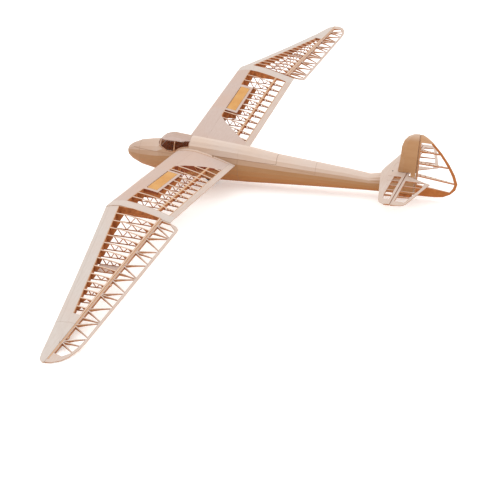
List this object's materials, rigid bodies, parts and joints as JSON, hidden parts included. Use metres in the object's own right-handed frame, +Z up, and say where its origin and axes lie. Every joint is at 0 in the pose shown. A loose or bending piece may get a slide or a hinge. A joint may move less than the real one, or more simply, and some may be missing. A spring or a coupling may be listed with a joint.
{
  "type": "scale model sailplane glider, uncovered balsa framework",
  "caption": "Uncovered wooden framework of a gull-winged scale model sailplane, parked on its wheel, tail skid and left wingtip.",
  "frame": {"origin": "under the middle of the parked model's box, at the floor", "axes": "+Z up, +X towards the left wingtip, which rests on the floor, and -Y towards the nose"},
  "size_m": [3.4266, 1.3816, 0.2891],
  "materials": {
    "sheet_balsa": "sanded pale balsa sheet",
    "hull_balsa": "sanded planked balsa",
    "rib_wood": "laser-cut ply and balsa with browned edges",
    "strip_wood": "sanded balsa strip",
    "ochre_ply": "yellow-ochre plywood",
    "clear_canopy": "clear moulded canopy",
    "wheel_rubber": "matt black rubber",
    "hub_metal": "satin turned metal"
  },
  "bodies": {
    "airframe": {"inner_leading_box_left": "sheet_balsa", "inner_leading_box_right": "sheet_balsa", "root_sheeting_left": "sheet_balsa", "root_sheeting_right": "sheet_balsa", "inner_ribs_left": "rib_wood", "inner_ribs_right": "rib_wood", "inner_trailing_strip_left": "strip_wood", "inner_trailing_strip_right": "strip_wood", "spoiler_frame_left": "sheet_balsa", "spoiler_frame_right": "sheet_balsa", "wing_joint_left": "sheet_balsa", "wing_joint_right": "sheet_balsa", "outer_leading_box_left": "sheet_balsa", "outer_leading_box_right": "sheet_balsa", "outer_ribs_left": "rib_wood", "outer_ribs_right": "rib_wood", "servo_plate_left": "sheet_balsa", "servo_plate_right": "sheet_balsa", "root_fairing_left": "hull_balsa", "root_fairing_right": "hull_balsa", "nose_cap": "hull_balsa", "fuselage_front": "hull_balsa", "fuselage_rear": "hull_balsa", "deck_cover": "hull_balsa", "cockpit_tray": "rib_wood", "wheel_axle": "hub_metal", "tail_skid": "rib_wood", "tailplane": "strip_wood", "tail_screw": "hub_metal", "fin": "hull_balsa"},
    "aileron_left": {"aileron_left": "strip_wood"},
    "aileron_right": {"aileron_right": "strip_wood"},
    "spoiler_left": {"spoiler_left": "ochre_ply"},
    "spoiler_right": {"spoiler_right": "ochre_ply"},
    "elevator": {"elevator": "strip_wood"},
    "rudder": {"rudder": "rib_wood"},
    "canopy": {"canopy_glass": "clear_canopy", "canopy_frame": "strip_wood"},
    "wheel": {"wheel_tyre": "wheel_rubber", "wheel_hub": "hub_metal"}
  },
  "joints": [
    {"name": "aileron_left_hinge", "type": "hinge", "parent": "airframe", "child": "aileron_left", "pos_m": [1.24198, -0.25065, 0.07358], "axis": [0.9889, -0.035, -0.1441], "range_deg": [-25, 25]},
    {"name": "aileron_right_hinge", "type": "hinge", "parent": "airframe", "child": "aileron_right", "pos_m": [-1.23666, -0.25065, 0.25128], "axis": [0.9994, 0.035, 0.0016], "range_deg": [-25, 25]},
    {"name": "spoiler_left_hinge", "type": "hinge", "parent": "airframe", "child": "spoiler_left", "pos_m": [0.46068, -0.37484, 0.16732], "axis": [0.9993, -0.0132, 0.0353], "range_deg": [0, 70]},
    {"name": "spoiler_right_hinge", "type": "hinge", "parent": "airframe", "child": "spoiler_right", "pos_m": [-0.44998, -0.37484, 0.23261], "axis": [0.984, 0.0132, -0.1775], "range_deg": [0, 70]},
    {"name": "elevator_hinge", "type": "hinge", "parent": "airframe", "child": "elevator", "pos_m": [-0.00156, 0.4902, 0.1036], "axis": [0.9974, 0, -0.0715], "range_deg": [-25, 25]},
    {"name": "rudder_hinge", "type": "hinge", "parent": "airframe", "child": "rudder", "pos_m": [-0.00791, 0.5145, 0.01498], "axis": [0.071, 0.1149, 0.9908], "range_deg": [-30, 30]},
    {"name": "canopy_hinge", "type": "hinge", "parent": "airframe", "child": "canopy", "pos_m": [0.00365, -0.53896, 0.17624], "axis": [0.9974, 0, -0.0715], "range_deg": [0, 60]},
    {"name": "wheel_spin", "type": "hinge", "parent": "airframe", "child": "wheel", "pos_m": [-0.00668, -0.32959, 0.03215], "axis": [0.9974, 0, -0.0715], "continuous": true}
  ]
}
